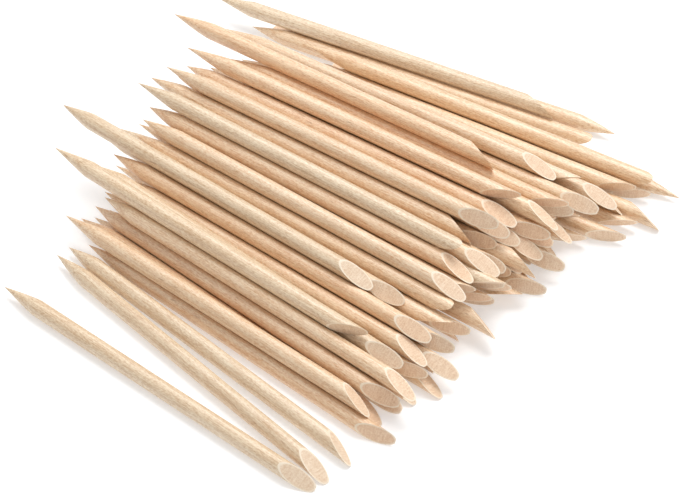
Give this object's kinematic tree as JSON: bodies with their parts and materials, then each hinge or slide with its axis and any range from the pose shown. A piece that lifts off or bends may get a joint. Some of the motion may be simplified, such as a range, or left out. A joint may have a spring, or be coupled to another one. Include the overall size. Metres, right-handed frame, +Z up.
{
  "type": "cuticle pusher sticks",
  "caption": "Loose heap of turned wooden cuticle pusher sticks, each with a pencil-like point at one end and a flat slanted pushing face at the other.",
  "frame": {"origin": "middle of the heap's box, on the surface it lies on", "axes": "+X along the sticks, towards most of their slanted ends; +Y from the two loose sticks to the back of the heap; +Z up"},
  "size_m": [0.1608, 0.1686, 0.0262],
  "materials": {
    "pale_wood": "bare, fine-sanded",
    "greyed_wood": "bare, fine-sanded",
    "warm_wood": "bare, fine-sanded"
  },
  "bodies": {
    "heap": {"inner1_stick_01": "pale_wood", "inner1_stick_04": "pale_wood", "inner1_stick_07": "pale_wood", "inner1_stick_10": "pale_wood", "inner1_stick_13": "pale_wood", "inner1_stick_16": "pale_wood", "inner1_stick_18": "pale_wood", "inner2_stick_01": "pale_wood", "inner2_stick_04": "pale_wood", "inner2_stick_07": "pale_wood", "inner2_stick_10": "pale_wood", "inner2_stick_13": "pale_wood", "inner2_stick_16": "pale_wood", "inner3_stick_01": "pale_wood", "inner3_stick_03": "pale_wood", "inner3_stick_05": "pale_wood", "inner3_stick_07": "pale_wood", "inner3_stick_09": "pale_wood", "inner3_stick_11": "pale_wood", "inner3_stick_13": "pale_wood", "inner3_stick_14": "pale_wood", "inner4_stick_01": "pale_wood", "inner4_stick_03": "pale_wood", "inner4_stick_05": "pale_wood", "inner4_stick_07": "pale_wood", "inner4_stick_09": "pale_wood", "inner4_stick_10": "pale_wood", "outer1_stick_02": "warm_wood", "outer1_stick_03": "warm_wood", "outer1_stick_04": "pale_wood", "outer1_stick_05": "pale_wood", "outer1_stick_06": "pale_wood", "outer2_stick_02": "warm_wood", "outer2_stick_03": "pale_wood", "outer3_stick_01": "pale_wood", "outer3_stick_02": "greyed_wood", "outer4_stick_02": "warm_wood", "outer4_stick_03": "greyed_wood", "outer4_stick_04": "pale_wood", "outer5_stick_03": "warm_wood", "outer5_stick_04": "pale_wood", "outer5_stick_05": "pale_wood", "outer5_stick_06": "pale_wood", "outer5_stick_07": "warm_wood", "outer5_stick_08": "pale_wood", "outer5_stick_09": "warm_wood"},
    "loose_stick_1": {"loose_stick_1": "greyed_wood"},
    "loose_stick_2": {"loose_stick_2": "greyed_wood"},
    "outer1_stick_01": {"outer1_stick_01": "greyed_wood"},
    "outer2_stick_01": {"outer2_stick_01": "pale_wood"},
    "outer2_stick_04": {"outer2_stick_04": "pale_wood"},
    "outer3_stick_03": {"outer3_stick_03": "greyed_wood"},
    "outer4_stick_01": {"outer4_stick_01": "greyed_wood"},
    "outer5_stick_01": {"outer5_stick_01": "greyed_wood"},
    "outer5_stick_02": {"outer5_stick_02": "pale_wood"},
    "outer5_stick_10": {"outer5_stick_10": "pale_wood"},
    "outer6_stick_01": {"outer6_stick_01": "greyed_wood"},
    "outer6_stick_02": {"outer6_stick_02": "pale_wood"},
    "outer6_stick_03": {"outer6_stick_03": "warm_wood"},
    "outer6_stick_04": {"outer6_stick_04": "warm_wood"}
  },
  "joints": [
    {"name": "loose_stick_1_lift", "type": "slide", "parent": "heap", "child": "loose_stick_1", "axis": [0, 0, 1], "range_m": [0, 0.045]},
    {"name": "loose_stick_2_lift", "type": "slide", "parent": "heap", "child": "loose_stick_2", "axis": [0, 0, 1], "range_m": [0, 0.045]},
    {"name": "outer1_stick_01_lift", "type": "slide", "parent": "heap", "child": "outer1_stick_01", "axis": [0, 0, 1], "range_m": [0, 0.045]},
    {"name": "outer2_stick_01_lift", "type": "slide", "parent": "heap", "child": "outer2_stick_01", "axis": [0, 0, 1], "range_m": [0, 0.045]},
    {"name": "outer2_stick_04_lift", "type": "slide", "parent": "heap", "child": "outer2_stick_04", "axis": [0, 0, 1], "range_m": [0, 0.045]},
    {"name": "outer3_stick_03_lift", "type": "slide", "parent": "heap", "child": "outer3_stick_03", "axis": [0, 0, 1], "range_m": [0, 0.045]},
    {"name": "outer4_stick_01_lift", "type": "slide", "parent": "heap", "child": "outer4_stick_01", "axis": [0, 0, 1], "range_m": [0, 0.045]},
    {"name": "outer5_stick_01_lift", "type": "slide", "parent": "heap", "child": "outer5_stick_01", "axis": [0, 0, 1], "range_m": [0, 0.045]},
    {"name": "outer5_stick_02_lift", "type": "slide", "parent": "heap", "child": "outer5_stick_02", "axis": [0, 0, 1], "range_m": [0, 0.045]},
    {"name": "outer5_stick_10_lift", "type": "slide", "parent": "heap", "child": "outer5_stick_10", "axis": [0, 0, 1], "range_m": [0, 0.045]},
    {"name": "outer6_stick_01_lift", "type": "slide", "parent": "heap", "child": "outer6_stick_01", "axis": [0, 0, 1], "range_m": [0, 0.045]},
    {"name": "outer6_stick_02_lift", "type": "slide", "parent": "heap", "child": "outer6_stick_02", "axis": [0, 0, 1], "range_m": [0, 0.045]},
    {"name": "outer6_stick_03_lift", "type": "slide", "parent": "heap", "child": "outer6_stick_03", "axis": [0, 0, 1], "range_m": [0, 0.045]},
    {"name": "outer6_stick_04_lift", "type": "slide", "parent": "heap", "child": "outer6_stick_04", "axis": [0, 0, 1], "range_m": [0, 0.045]}
  ]
}
